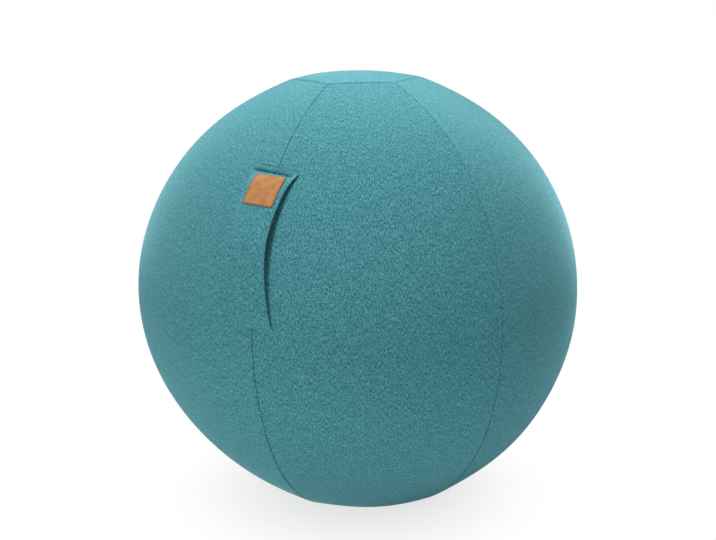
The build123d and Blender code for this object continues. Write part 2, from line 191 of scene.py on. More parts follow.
# Melange felt: brushed woollen weave of light and dark yarns, so a matt speckle with a pale bloom
# at grazing angles. Threads are 1 mm wide and flecks 1 to 2 mm, drawn about half as coarse again
# so that they show at this size.
felt = {
    "dark": "#256068",
    "body": "#4c97a1",
    "light": "#79bfc8",
    # painted shade: the same felt, darker where it lies under the strap
    "liningPaintedShade": "#32686f",
    "nep": "#1b4f57",
    "bloom": "#9adfe8",
    "stops": (0.38, 0.54, 0.72),    # tones at which the yarn is dark, of the body's shade, and light
    "yarns": {                      # size, stretch, detail, roughness, and share of the tone
        "weft": (0.0014, (0.5, 1.0, 1.0), 1.0, 0.5, 0.24),
        "warp": (0.0014, (1.0, 0.3, 1.0), 1.0, 0.5, 0.44),
        "fleck": (0.0022, (1.0, 0.7, 1.0), 2.0, 0.6, 0.32),
    },
    "cloud": (0.013, 0.08),         # size, and share of the tone
    "nepSize": 0.0022,
    "nepRange": (0.58, 0.72, 0.5),  # a nep shows from here to here, at most by this share
    "thread": 0.0016,
    "nap": 0.0006,
    "sheen": 0.75,
}


def makeFelt(name, shade):
    material, tree = newMaterial(name)
    place = addNode(tree, "ShaderNodeUVMap", uv_map="weave").outputs["UV"]
    mixed = 0.0
    for size, stretch, detail, roughness, weight in felt["yarns"].values():
        stretched = addNode(tree, "ShaderNodeMapping", {"Vector": place, "Scale": stretch}).outputs[0]
        grain = addNode(tree, "ShaderNodeTexNoise", {
            "Vector": stretched, "Scale": 1 / size, "Detail": detail, "Roughness": roughness,
        }).outputs["Fac"]
        mixed = addNode(tree, "ShaderNodeMath", {
            0: grain, 1: weight, 2: mixed}, operation="MULTIPLY_ADD").outputs[0]
    cloudSize, cloudWeight = felt["cloud"]
    clouds = addNode(tree, "ShaderNodeTexNoise", {
        "Vector": place, "Scale": 1 / cloudSize, "Detail": 1.0,
    }).outputs["Fac"]
    tone = addNode(tree, "ShaderNodeMath", {
        0: clouds, 1: cloudWeight, 2: mixed}, operation="MULTIPLY_ADD").outputs[0]
    melange = rampStops(
        addNode(tree, "ShaderNodeValToRGB", {"Fac": tone}),
        list(zip(felt["stops"], (felt["dark"], shade, felt["light"]))),
    ).outputs["Color"]
    neps = addNode(tree, "ShaderNodeTexNoise", {
        "Vector": place, "Scale": 1 / felt["nepSize"], "Detail": 0.0,
    }).outputs["Fac"]
    nepStart, nepEnd, nepMost = felt["nepRange"]
    nepShare = addNode(tree, "ShaderNodeMapRange", {
        "Value": neps, "From Min": nepStart, "From Max": nepEnd, "To Min": 0.0, "To Max": nepMost,
    }).outputs["Result"]
    colour = addNode(tree, "ShaderNodeMix", {
        "Factor": nepShare, "A": melange, "B": linear(felt["nep"]),
    }, data_type="RGBA").outputs["Result"]
    weave, weaveUp = [addNode(tree, "ShaderNodeTexWave", {
        "Vector": place, "Scale": 1 / felt["thread"] / waveScale, "Distortion": 1.5, "Detail": 1.0,
    }, bands_direction=way).outputs["Fac"] for way in "XY"]
    threads = addNode(tree, "ShaderNodeMath", {0: weave, 1: weaveUp}, operation="MULTIPLY").outputs[0]
    pile = addNode(tree, "ShaderNodeMath", {
        0: mixed, 1: 2.0, 2: threads}, operation="MULTIPLY_ADD").outputs[0]
    bump = addNode(tree, "ShaderNodeBump", {"Height": pile, "Strength": 0.35, "Distance": felt["nap"]})
    shader = addNode(tree, "ShaderNodeBsdfPrincipled", {
        "Base Color": colour, "Roughness": 0.92, "IOR": 1.45, "Specular IOR Level": 0.2,
        "Sheen Weight": felt["sheen"], "Sheen Roughness": 0.45, "Sheen Tint": linear(felt["bloom"]),
        "Normal": bump.outputs[0],
    })
    finishSurface(tree, shader)
    return material


feltCover = makeFelt("melangeFelt", felt["body"])
feltLiningPaintedShade = makeFelt("melangeFeltPaintedShade", felt["liningPaintedShade"])      # painted shade: the same felt, darker, on the strap's inside and its turned-under ends

# Polyester sewing thread: twisted and a little glossy. Its colour is painted darker than the felt, as shade
# of the crease it lies in, and its darker tone is painted shade in the hollows of its twist
thread = {"colour": "#17424a", "twistShade": "#0d2c32", "twist": 0.0006}
threadMaterial, tree = newMaterial("polyesterThread")
place = addNode(tree, "ShaderNodeTexCoord").outputs["Object"]
twist = addNode(tree, "ShaderNodeTexNoise", {"Vector": place, "Scale": 1 / thread["twist"]}).outputs["Fac"]
# the twist's tones, from painted shade in its hollows to the thread's painted crease-shaded colour
tone = rampStops(addNode(tree, "ShaderNodeValToRGB", {"Fac": twist}), (
    (0.3, thread["twistShade"]), (0.7, thread["colour"]),
)).outputs["Color"]
finishSurface(tree, addNode(tree, "ShaderNodeBsdfPrincipled", {
    "Base Color": tone, "Roughness": 0.7, "Specular IOR Level": 0.2,
}))

# Vegetable-tanned leather: smooth face with fine pores and creases, darker where the cut edge is burnished.
# Pores are 0.3 mm in the real thing, drawn at about 1 mm so that they show.
leather = {
    "body": "#bd8350",
    "pale": "#cc9362",
    "deep": "#a56b3b",
    "edge": "#8f5730",
    "burnish": 0.0018,      # reaches this far in from the cut edge
    "pore": 0.0011,
    "cloud": 0.011,
}
leatherMaterial, tree = newMaterial("vegetableTannedLeather")
place = addNode(tree, "ShaderNodeUVMap", uv_map="weave").outputs["UV"]
pores = addNode(tree, "ShaderNodeTexVoronoi", {
    "Vector": place, "Scale": 1 / leather["pore"],
}).outputs["Distance"]
clouds = addNode(tree, "ShaderNodeTexNoise", {
    "Vector": place, "Scale": 1 / leather["cloud"], "Detail": 4.0, "Roughness": 0.65,
}).outputs["Fac"]
hide = rampStops(addNode(tree, "ShaderNodeValToRGB", {"Fac": clouds}), (
    (0.3, leather["deep"]), (0.5, leather["body"]), (0.72, leather["pale"]),
)).outputs["Color"]
rim = addNode(tree, "ShaderNodeAttribute", attribute_name="rim").outputs["Fac"]
faced = addNode(tree, "ShaderNodeMix", {
    "Factor": rim, "A": hide, "B": linear(leather["edge"]),
}, data_type="RGBA").outputs["Result"]
poreTone = addNode(tree, "ShaderNodeMapRange", {
    "Value": pores, "From Min": 0.0, "From Max": 0.5, "To Min": 0.82, "To Max": 1.04,
}).outputs["Result"]
toned = addNode(tree, "ShaderNodeMix", {
    "Factor": 1.0, "A": faced, "B": poreTone,
}, data_type="RGBA", blend_type="MULTIPLY").outputs["Result"]
bump = addNode(tree, "ShaderNodeBump", {"Height": pores, "Strength": 0.25, "Distance": 0.0003})
rough = addNode(tree, "ShaderNodeMapRange", {
    "Value": clouds, "To Min": 0.58, "To Max": 0.74,
}).outputs["Result"]
finishSurface(tree, addNode(tree, "ShaderNodeBsdfPrincipled", {
    "Base Color": toned, "Roughness": rough, "IOR": 1.5, "Specular IOR Level": 0.3,
    "Normal": bump.outputs[0],
}))

# Woven polyester zip tape: twill, so fine slanting ribs and a dull surface. Ribs are 0.5 mm wide,
# drawn at 1 mm so that they show.
tape = {"colour": "#2f6a72", "light": "#478a93", "rib": 0.001, "slant": 35}
tapeMaterial, tree = newMaterial("wovenZipTape")
place = addNode(tree, "ShaderNodeUVMap", uv_map="weave").outputs["UV"]
slant = addNode(tree, "ShaderNodeMapping", {
    "Vector": place, "Rotation": (0, 0, math.radians(tape["slant"])),
}).outputs[0]
ribs = addNode(tree, "ShaderNodeTexWave", {
    "Vector": slant, "Scale": 1 / tape["rib"] / waveScale,
}).outputs["Fac"]
tone = rampStops(addNode(tree, "ShaderNodeValToRGB", {"Fac": ribs}), (
    (0.2, tape["colour"]), (0.8, tape["light"]),
)).outputs["Color"]
bump = addNode(tree, "ShaderNodeBump", {"Height": ribs, "Strength": 0.4, "Distance": 0.0003})
finishSurface(tree, addNode(tree, "ShaderNodeBsdfPrincipled", {
    "Base Color": tone, "Roughness": 0.85, "Sheen Weight": 0.15, "Normal": bump.outputs[0],
}))


# Moulded and cast finishes: uneven in tone and gloss over patches of about 8 mm, with a grit of about
# 1 mm, which is coarser than the real one so that it shows
moulded = {"grit": 0.001, "patch": 0.12}      # 0.12 of a patch to each grain


def makeMoulded(name, body, worn, roughness, metallic=0.0):
    material, tree = newMaterial(name)
    place = addNode(tree, "ShaderNodeTexCoord").outputs["Object"]
    patches = addNode(tree, "ShaderNodeTexNoise", {
        "Vector": place, "Scale": moulded["patch"] / moulded["grit"], "Detail": 3.0,
    }).outputs["Fac"]
    fine = addNode(tree, "ShaderNodeTexNoise", {
        "Vector": place, "Scale": 1 / moulded["grit"], "Detail": 2.0,
    }).outputs["Fac"]
    tone = rampStops(addNode(tree, "ShaderNodeValToRGB", {"Fac": patches}), (
        (0.35, body), (0.75, worn),
    )).outputs["Color"]
    gloss = addNode(tree, "ShaderNodeMapRange", {
        "Value": patches, "To Min": roughness - 0.08, "To Max": roughness + 0.1,
    }).outputs["Result"]
    bump = addNode(tree, "ShaderNodeBump", {"Height": fine, "Strength": 0.12, "Distance": 0.0001})
    finishSurface(tree, addNode(tree, "ShaderNodeBsdfPrincipled", {
        "Base Color": tone, "Roughness": gloss, "Metallic": metallic, "Normal": bump.outputs[0],
    }))
    return material


teethMaterial = makeMoulded("mouldedAcetalTeeth", "#2b6169", "#3a7982", 0.42)   # dull sheen of acetal
sliderMaterial = makeMoulded("lacqueredZinc", "#6f7679", "#9aa2a5", 0.34, 0.9)  # die-cast, clear lacquer
pvcMaterial = makeMoulded("dippedPvc", "#6b7073", "#777d80", 0.55)              # soft and matt
plugMaterial = makeMoulded("mouldedPvcPlug", "#cfcfca", "#dcdcd8", 0.35)        # pale, with some gloss
print("materials made")

# meshes


def meshObject(name, vertices, faces, material, uv=None, rim=None):
    mesh = bpy.data.meshes.new(name)
    mesh.from_pydata([tuple(v) for v in vertices], [], [tuple(f) for f in faces])
    mesh.materials.append(material)
    mesh.polygons.foreach_set("use_smooth", [True] * len(mesh.polygons))
    if uv is not None:
        corners = np.empty(len(mesh.loops), np.int32)
        mesh.loops.foreach_get("vertex_index", corners)
        layer = mesh.uv_layers.new(name="weave")
        layer.data.foreach_set("uv", np.asarray(uv, np.float32)[corners].ravel())
    if rim is not None:
        mesh.attributes.new("rim", "FLOAT", "POINT").data.foreach_set("value", np.asarray(rim, np.float32))
    mesh.update()
    piece = bpy.data.objects.new(name, mesh)
    bpy.context.scene.collection.objects.link(piece)
    return piece


def gridFaces(rows, columns, closed=False):
    faces = []
    for r in range(rows - 1):
        for c in range(columns if closed else columns - 1):
            n = (c + 1) % columns
            faces.append((r * columns + c, r * columns + n, (r + 1) * columns + n, (r + 1) * columns + c))
    return faces


def thicken(piece, thickness):
    solid = piece.modifiers.new("feltThickness", "SOLIDIFY")
    solid.thickness = thickness
    solid.offset = -1
    return piece


def sewCover(piece, node):  # a piece of the felt cover, taut over the inner ball
    thicken(piece, cover["felt"])
    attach(piece, "cover")
    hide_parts(node)


def cleanMesh(piece, merge=1e-6):  # points this close become one, and the faces look outwards
    work = bmesh.new()
    work.from_mesh(piece.data)
    bmesh.ops.remove_doubles(work, verts=work.verts, dist=merge)
    bmesh.ops.recalc_face_normals(work, faces=work.faces)
    work.to_mesh(piece.data)
    work.free()


# carrying strap, bowed over its chord and wrapped across its width
strap = {
    "endTop": (0.0, -0.24756, 0.53238),
    "endBottom": (0.0, -0.32854, 0.34997),
    "bowHeight": 0.0268,
    "lean": 0.0034,         # fuller above its middle, flatter below
    # the patch keeps it straight: lower by this, over this length, how roundly
    "stiff": (0.0055, 0.105, 1.3),
    "wrap": 0.105,
    "widths": (0.0636, 0.0552, 0.0556),     # at the top, the grip and the bottom
    "flare": (0.0034, 0.014),               # wider by this at its top seam, over this length
    "hem": 0.008,           # goes on above its top seam, sewn flat
    "sway": (-0.0034, -0.0084, 0.0032),     # of its middle line from the seam, at the same places
    "skew": (0.15, -0.05),  # slope of its two sewn ends
    "faceThick": 0.0020,
    "liningThick": 0.0012,
    "liningInset": 0.0020,
    "liningSetback": 0.009,
    "faceLevel": 0.0023,    # middle of the face layer above the arc of the lining's inside
    "endGap": 0.0011,       # middle of the face layer above the cover where it is sewn down
    "room": (0.0022, 0.014),    # below the lining, reached over this length
    "settle": (0.031, 0.040),   # the strap leaves the cover over this length, at the top and the bottom
    "blend": (0.006, 0.002),    # starts to lift this far above the chord, is free this far over the bow
    "layerGap": 0.0001,
    "mesh": 0.0024,
    "liningMesh": 0.0030,
}
endTop, endBottom = np.array(strap["endTop"]), np.array(strap["endBottom"])
chordLength = np.linalg.norm(endBottom - endTop)
chordMiddle = (endTop + endBottom) / 2
along = (endBottom - endTop) / chordLength
sideways = np.array((1.0, 0.0, 0.0))
lift = np.cross(along, sideways)
bowRadius = (chordLength ** 2 / 4 + strap["bowHeight"] ** 2) / (2 * strap["bowHeight"])
bowHalf = math.asin(chordLength / 2 / bowRadius)
bowMiddle = strap["wrap"] + strap["bowHeight"] - bowRadius
strapLength = 2 * bowHalf * bowRadius

# the strap's top seam pulls a crease into the felt, and its hem presses the cover down
crease = {
    "depth": 0.0016,
    "halves": (0.0026, 0.0042),     # above and below
    "press": 0.0010,
    "pressEnd": 0.010,
    "pressReach": 0.008,
    "beyond": 0.002,        # goes on past the strap's sides by this much
    "fade": 0.005,
    "hemEdge": (0.0010, 0.0016),    # the cover rises again this far above the hem, over this length
    "cornerLift": 0.0004,   # its free corner stands up beside the last stitch
    "corner": 0.011,
    "band": (-0.020, 0.010),        # finer rows in the cover over this stretch
    "spacing": 0.0008,
    "strapBand": 0.0048,            # and in the strap to each side of the seam
    "strapSpacing": 0.0006,
}


def bowPlace(distance):  # along and above the strap's chord, with the direction there
    level = bowRadius + strap["faceLevel"]
    psi = math.pi / 2 + bowHalf * (1 - 2 * distance / strapLength)
    return level * np.cos(psi), bowMiddle + level * np.sin(psi), psi


def creaseDip(x):
    return crease["depth"] * np.exp(-((x / np.where(x < 0, *crease["halves"])) ** 2))


def pressDip(x):
    return crease["press"] * eased((crease["pressEnd"] - x) / crease["pressReach"])


def creaseDepth(points):
    beside = points[..., 0] - strap["sway"][0]
    x = (points - chordMiddle) @ along - bowPlace(beside * strap["skew"][0])[0]
    topWidth = strap["widths"][0] + strap["flare"][0]
    ends = eased((topWidth / 2 + crease["beyond"] - np.abs(beside)) / crease["fade"])
    rise, riseLength = crease["hemEdge"]
    above = eased((x + strap["hem"] + rise) / riseLength)
    return (creaseDip(x) + pressDip(x) * above) * ends


def rolledEdge(r, steps=5):  # (distance from the seam, depth) from the flat felt to its turned-in edge
    turns = np.linspace(0, math.pi / 2, steps + 1)
    return [(r * (1 - math.sin(t)), r * (1 - math.cos(t))) for t in turns] + [(0.0, r + cover["tuck"])]


def solve(miss, low, high):  # where miss changes sign, for a whole row of columns at once
    for _ in range(50):
        middle = (low + high) / 2
        above = miss(middle) > 0
        low = np.where(above, middle, low)
        high = np.where(above, high, middle)
    return (low + high) / 2


def panelPlace(phi, share, inset):
    r, d = cover["radius"], cover["setback"]
    reach = r * np.cos(phi) + d
    limit = halfTurn - np.arcsin(d * math.sin(halfTurn) / reach)
    turn = share * (limit - (cover["seamGap"] / 2 + inset) / reach)
    return reach * np.cos(turn) - d, reach * np.sin(turn), r * np.sin(phi), reach * turn


def makePanel(number):
    middle = (number - 0.5) * panelTurn
    zipped = abs((middle + 180) % 360 - 180) < cover["zipEnd"]
    hem = cover["seamRadius"] + (cover["zipHalf"] if zipped else cover["sewnGap"])
    roll, capRoll = cover["roll"], cover["capRoll"]
    columns = np.linspace(-1, 1, cover["columns"])
    sides = rolledEdge(roll)[1:]
    share = np.concatenate([[-1] * len(sides), columns, [1] * len(sides)])
    inset = np.array([e for e, _ in sides[::-1]] + [roll] * len(columns) + [e for e, _ in sides])
    sink = np.array([s for _, s in sides[::-1]] + [0.0] * len(columns) + [s for _, s in sides])
    lowest, highest = np.full(len(share), 0.2), np.full(len(share), 1.5)    # the seams lie between these

    def topPhi(e):
        def miss(phi):
            return panelPlace(phi, share, inset)[0] - cover["capHalf"] - cover["seamGap"] / 2 - e
        return solve(miss, lowest, highest)

    def bottomPhi(e):
        def miss(phi):
            x, y, _, _ = panelPlace(-phi, share, inset)
            return np.hypot(x, y) - hem - e
        return -solve(miss, lowest, highest)

    rows = [(bottomPhi(e), s, 1.0) for e, s in sides[::-1]]
    low, high = bottomPhi(roll), topPhi(capRoll)
    places = np.linspace(0, 1, int(cover["panelLength"] / cover["mesh"]))
    creased = number in (1, cover["panels"])
    if creased:     # more rows where the strap's top end is sewn in
        seam = 0 if number == 1 else -1
        perMetre = 1 / (cover["radius"] * (high - low)[seam])
        middlePhi = math.asin((endTop[2] - centre[2]) / cover["radius"])
        creasePlace = (middlePhi - low[seam]) / (high - low)[seam]
        band = -np.arange(*crease["band"], crease["spacing"]) * perMetre
        spare = 0.001 * perMetre
        offset = places - creasePlace
        clear = (offset > band.max() + spare) | (offset < band.min() - spare)
        places = np.sort(np.concatenate([places[clear], creasePlace + band]))
    rows += [(low + (high - low) * v, 0.0, 0.0) for v in places]
    rows += [(topPhi(e), s, -1.0) for e, s in rolledEdge(capRoll)[1:]]
    ahead, right = heading(middle), heading(middle + 90)
    seamWay = math.cos(halfTurn) * ahead + np.sign(share)[:, None] * math.sin(halfTurn) * right
    acrossShift, upShift = (shift * number for shift in cover["cutShift"])
    points, uv = [], []
    for phi, endSink, endWay in rows:
        x, y, z, across = panelPlace(phi, share, inset)
        row = settled(centre + x[:, None] * ahead + y[:, None] * right + z[:, None] * up)
        inwards = -(np.cos(phi)[:, None] * seamWay + np.sin(phi)[:, None] * up)
        row = row + inwards * sink[:, None] * seamDepth(row) + up * endSink * endWay
        if creased:
            row = row - outFrom(row) * creaseDepth(row)[:, None]
        points.append(row)
        uv.append(np.stack([across + acrossShift, cover["radius"] * phi + upShift], 1))
    points, uv = np.concatenate(points), np.concatenate(uv)
    piece = meshObject(f"coverPanel{number}", points, gridFaces(len(rows), len(share)), feltCover, uv)
    sewCover(piece, f"cover_panel_{number}")


for number in range(1, cover["panels"] + 1):
    makePanel(number)
print("six panels made")


def panelHeightAt(x, y):  # height of the cover's panels above a point of the plan, near the top
    azimuth = np.degrees(np.arctan2(x, -y))
    a = np.radians((np.floor(azimuth / panelTurn) + 0.5) * panelTurn)
    ahead = x * np.sin(a) - y * np.cos(a)
    right = x * np.cos(a) + y * np.sin(a)
    level = np.hypot(ahead + cover["setback"], right) - cover["setback"]
    return np.sqrt(cover["radius"] ** 2 - level ** 2)


cap = {"perSide": 14, "rings": 17, "innermost": 0.04, "riseNearRim": 6}


def makeCap():
    half, perSide = cover["capHalf"] - cover["seamGap"] / 2, cap["perSide"]
    corners = [heading(panelTurn * k) / math.cos(halfTurn) for k in range(cover["panels"] + 1)]
    outline = np.array([start + (end - start) * t / perSide
                        for start, end in zip(corners, corners[1:]) for t in range(perSide)])
    rings = [((half - cover["capRoll"]) * f, 0.0) for f in np.linspace(cap["innermost"], 1, cap["rings"])]
    rings += [(half - e, s) for e, s in rolledEdge(cover["capRoll"])[1:]]
    points, uv = [], []
    for apothem, sink in rings:
        ring = outline * apothem
        dome = np.sqrt(cover["radius"] ** 2 - (ring ** 2).sum(1))
        edgeHeight = panelHeightAt(ring[:, 0], ring[:, 1])
        rise = (edgeHeight - dome) * (apothem / half) ** cap["riseNearRim"]
        ring = ring + up * (dome + rise)[:, None] + centre
        points.append(settled(ring) - up * sink)
        uv.append(ring[:, :2])
    count = len(outline)
    faces = [tuple(reversed(f)) for f in gridFaces(len(rings), count, True)]
    points = np.concatenate(points + [settled((centre + up * cover["radius"])[None])])
    uv = np.concatenate(uv + [np.zeros((1, 2))])
    top = len(points) - 1
    faces += [(top, (c + 1) % count, c)[::-1] for c in range(count)]
    piece = meshObject("capHexagon", points, faces, feltCover, uv)
    sewCover(piece, "top_cap")


base = {
    "around": 240,
    "rings": 26,
    "innermost": 0.03,
    "zipStop": 3.0,         # degrees over which its edge comes out to the sewn seam
    "cutShift": 0.9,        # cut from its own place of the cloth
}


def makeBase():
    count = base["around"]
    azimuths = np.linspace(-180, 180, count, endpoint=False)
    sewn, zipped = (cover["seamRadius"] - cover[gap] for gap in ("sewnGap", "zipHalf"))
    sewnShare = np.clip((np.abs(azimuths) - cover["zipEnd"]) / base["zipStop"], 0, 1)
    rimRadius = zipped + (sewn - zipped) * sewnShare
    ways = np.array([heading(a) for a in azimuths])
    inner = np.linspace(base["innermost"], 1, base["rings"])
    rings = [((rimRadius - cover["roll"]) * f, 0.0) for f in inner]
    rings += [(rimRadius - e, s) for e, s in rolledEdge(cover["roll"])[1:]]
    points, uv = [], []
    for radius, sink in rings:
        level = centre[2] - np.sqrt(cover["radius"] ** 2 - np.maximum(radius, cover["restRadius"]) ** 2)
        ring = ways * radius[:, None] + up * (level + sink)[:, None]
        points.append(ring)
        uv.append(ring[:, :2] + base["cutShift"])
    points = np.concatenate(points + [np.zeros((1, 3))])
    uv = np.concatenate(uv + [np.full((1, 2), base["cutShift"])])
    faces = gridFaces(len(rings), count, True)
    middle = len(points) - 1
    faces += [(middle, (c + 1) % count, c) for c in range(count)]
    piece = meshObject("basePanel", points, faces, feltCover, uv)
    sewCover(piece, "base_panel")


makeCap()
makeBase()
print("cap and base made")

# inner ball, wound round its valve
innerBall = {
    "radius": 0.3176,
    "wall": 0.0009,
    "floor": 0.0029,
    "valveDistance": 0.064,
    "valveAzimuth": 180.0,
    "recess": 0.0086,
    "recessDepth": 0.0024,
    "bore": 0.0047,
    "bossDepth": 0.0093,
    "dentHalf": 0.029,      # pressed in behind the zip over this much to each side
    "dentDepth": 0.0046,
    "edge": (0.0003, 0.0006),   # rounding of the recess's rim, down and outwards
    "around": 120,
    "nearRings": (0.14, 8),     # angle from the valve, and how many rings up to it
    "farRings": (0.17, 88),
    "lastGap": 0.03,
}


def makeInnerBall():
    b = innerBall
    tilt = math.asin(b["valveDistance"] / b["radius"])
    out = heading(b["valveAzimuth"]) * math.sin(tilt) - up * math.cos(tilt)
    side = heading(b["valveAzimuth"] + 90)
    other = np.cross(out, side)
    count = b["around"]
    turns = np.linspace(0, 2 * math.pi, count, endpoint=False)
    ways = np.cos(turns)[:, None] * side + np.sin(turns)[:, None] * other
    rings = []
    edgeDown, edgeOut = b["edge"]
    for radius, depth in (
        (b["bore"], b["bossDepth"]), (b["bore"], b["recessDepth"]),
        (b["recess"], b["recessDepth"]), (b["recess"], edgeDown),
    ):
        rings.append(centre + out * (b["radius"] - depth) + ways * radius)
    start = math.asin((b["recess"] + edgeOut) / b["radius"])
    nearEnd, nearCount = b["nearRings"]
    farStart, farCount = b["farRings"]
    near = np.linspace(start, nearEnd, nearCount)
    far = np.linspace(farStart, math.pi - b["lastGap"], farCount)
    seam = math.asin(cover["seamRadius"] / b["radius"]) * b["radius"]
    for angle in np.concatenate([near, far]):
        aim = out * math.cos(angle) + ways * math.sin(angle)
        points = centre + aim * b["radius"]
        fromBottom = np.arccos(np.clip(-aim @ up, -1, 1)) * b["radius"]
        press = np.clip(1 - ((fromBottom - seam) / b["dentHalf"]) ** 2, 0, 1) * b["dentDepth"]
        points = settled(points - aim * press[:, None])
        points[:, 2] = np.maximum(points[:, 2], b["floor"])
        rings.append(points)
    points = np.concatenate(rings + [settled((centre - out * b["radius"])[None])])
    faces = gridFaces(len(rings), count, True)
    last = len(points) - 1
    lastRing = (len(rings) - 1) * count
    faces += [(lastRing + c, lastRing + (c + 1) % count, last) for c in range(count)]
    piece = meshObject("innerBall", points, faces, pvcMaterial)
    thicken(piece, b["wall"])
    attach(piece, "cover")
    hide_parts("inner_ball")


makeInnerBall()
print("inner ball made")


def coverHeight(x, lateral, most=0.08):  # of the cover above the strap's chord, along the strap's lift
    foot = chordMiddle + x[..., None] * along + lateral[..., None] * sideways
    d, r = cover["setback"], cover["radius"]

    def miss(h):
        p = foot + h[..., None] * lift
        p = p - strayOf(p) - centre
        a = np.where(p[..., 0] >= 0, halfTurn, -halfTurn)
        ahead = p[..., 0] * np.sin(a) - p[..., 1] * np.cos(a)
        right = p[..., 0] * np.cos(a) + p[..., 1] * np.sin(a)
        level = np.hypot(ahead + d, right) - d
        return r ** 2 - level ** 2 - p[..., 2] ** 2
    return solve(miss, np.full(x.shape, -most), np.full(x.shape, most))


def alongStrap(values, distance):  # smoothly through a value at the top, the middle and the bottom
    top, grip, bottom = values
    share = 2 * distance / strapLength - 1
    return grip + (bottom - top) / 2 * share + ((top + bottom) / 2 - grip) * share ** 2


def strapSurface(distance, lateral):  # middle of the strap's face layer, with its outward direction
    x, y, psi = bowPlace(distance)
    lower, length, power = strap["stiff"]
    y = y + strap["lean"] * np.sin(2 * math.pi * np.clip(distance / strapLength, 0, 1))
    y = y - lower * np.abs(np.sin(math.pi * np.clip(distance / length, 0, 1))) ** power
    turn = np.arcsin(lateral / y)
    outwards = np.cos(turn)[..., None] * lift + np.sin(turn)[..., None] * sideways
    point = chordMiddle - strap["wrap"] * lift + x[..., None] * along + y[..., None] * outwards
    normal = np.cos(psi)[..., None] * along + np.sin(psi)[..., None] * outwards
    reach = np.where(distance < strapLength / 2, *strap["settle"])
    fromEnd = np.minimum(distance, strapLength - distance)
    settle = eased(1 - fromEnd / reach)
    room, roomReach = strap["room"]
    gap = strap["endGap"] + (strap["liningThick"] + room) * eased(fromEnd / roomReach)
    height = ((point - chordMiddle) * lift).sum(-1)
    wanted = coverHeight(x, lateral) + gap
    point = point + ((wanted - height) * settle)[..., None] * lift
    return point, normal


def strapPlace(run, lateral):  # the same, from the strap's own middle line and slanting ends
    top, bottom = strap["skew"]
    distance = run + lateral * (top + (bottom - top) * run / strapLength)
    point, normal = strapSurface(distance, lateral + alongStrap(strap["sway"], distance))
    corner = eased((lateral - strapSpan(run) / 2 + crease["corner"]) / crease["corner"])
    corner = corner * eased(1 - np.abs(run) / crease["corner"])
    dip = (creaseDip(run) + pressDip(run)) * (1 - corner) - crease["cornerLift"] * corner
    return point - normal * dip[..., None], normal


def edgeSteps(length, radius, spacing):  # places along a side, close together at its rounded ends
    bend = [radius * (1 - math.cos(t)) for t in np.linspace(0, math.pi / 2, 6)]
    inner = np.linspace(bend[-1], length - bend[-1], max(4, int(length / spacing)))[1:-1]
    return np.array(bend + list(inner) + [length - b for b in bend[::-1]])


def padSheet(name, lengths, widthAt, place, thick, material, offset=0.0, corner=0.0, uvShift=0.0):
    # a closed sheet with rounded edges: two skins that meet at the rim
    radius = thick / 2
    meanWidth = np.mean(widthAt(lengths))
    shares = edgeSteps(1.0, radius / meanWidth, strap["mesh"] / meanWidth)
    spread = shares[None, :] * np.ones((len(lengths), 1))
    run = lengths[:, None] * np.ones((1, len(shares)))
    start, end = lengths[0], lengths[-1]
    if corner > 0:      # each corner's square of mesh is pulled in to a quarter circle
        for atStart in (True, False):
            for atLeft in (True, False):
                eRun = (run - start) if atStart else (end - run)
                eSide = (spread if atLeft else 1 - spread) * meanWidth
                a, b = np.clip(1 - eRun / corner, 0, 1), np.clip(1 - eSide / corner, 0, 1)
                both = (a > 0) & (b > 0)
                newRun = corner * (1 - a * np.sqrt(1 - b * b / 2))
                newSide = corner * (1 - b * np.sqrt(1 - a * a / 2)) / meanWidth
                run = np.where(both, start + newRun if atStart else end - newRun, run)
                spread = np.where(both, newSide if atLeft else 1 - newSide, spread)
    lateral = (spread * 2 - 1) * widthAt(run) / 2
    middle, normal = place(run, lateral)
    eRun = np.minimum(lengths - start, end - lengths)[:, None]
    eSide = np.minimum(shares, 1 - shares)[None, :] * widthAt(lengths)[:, None]
    fullRun, fullSide = (np.sqrt(1 - np.clip(1 - e / radius, 0, 1) ** 2) for e in (eRun, eSide))
    full = fullRun * fullSide
    top = middle + normal * (offset + radius * full)[..., None]
    bottom = middle + normal * (offset - radius * full)[..., None]
    rows, columns = run.shape
    flat = gridFaces(rows, columns)
    shift = rows * columns
    faces = [f[::-1] for f in flat] + [tuple(shift + i for i in f) for f in flat]
    vertices = np.concatenate([top.reshape(-1, 3), bottom.reshape(-1, 3)])
    uv = np.stack([lateral, run], -1).reshape(-1, 2) + uvShift
    rim = np.clip(1 - np.minimum(eRun, eSide) / leather["burnish"], 0, 1).reshape(-1)
    uv, rim = np.concatenate([uv, uv]), np.concatenate([rim, rim])
    piece = meshObject(name, vertices, faces, material, uv, rim)
    cleanMesh(piece)
    return piece


def strapSpan(run):
    wider, reach = strap["flare"]
    return alongStrap(strap["widths"], run) + wider * np.exp(-np.maximum(run, 0) / reach)


def handleBlend(piece):
    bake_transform(piece)


faceLengths = edgeSteps(strapLength + strap["hem"], strap["faceThick"] / 2, strap["mesh"]) - strap["hem"]
band = crease["strapBand"]
atCrease = np.arange(-band, band + 0.0001, crease["strapSpacing"])
faceLengths = np.sort(np.concatenate([faceLengths[np.abs(faceLengths) > band + 0.0004], atCrease]))
strapFace = padSheet(
    "strapFace", faceLengths, strapSpan, strapPlace, strap["faceThick"], feltCover, uvShift=0.11,
)
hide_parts("strap_face")
handleBlend(strapFace)

setback, liningThick = strap["liningSetback"], strap["liningThick"]
liningLengths = setback + edgeSteps(strapLength - 2 * setback, liningThick / 2, strap["liningMesh"])
liningOffset = -(strap["faceThick"] + liningThick) / 2 - strap["layerGap"]
strapLining = padSheet(
    "strapLining", liningLengths, lambda run: strapSpan(run) - 2 * strap["liningInset"], strapPlace,
    liningThick, feltLiningPaintedShade, liningOffset, uvShift=0.43,
)
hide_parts("strap_lining")
handleBlend(strapLining)

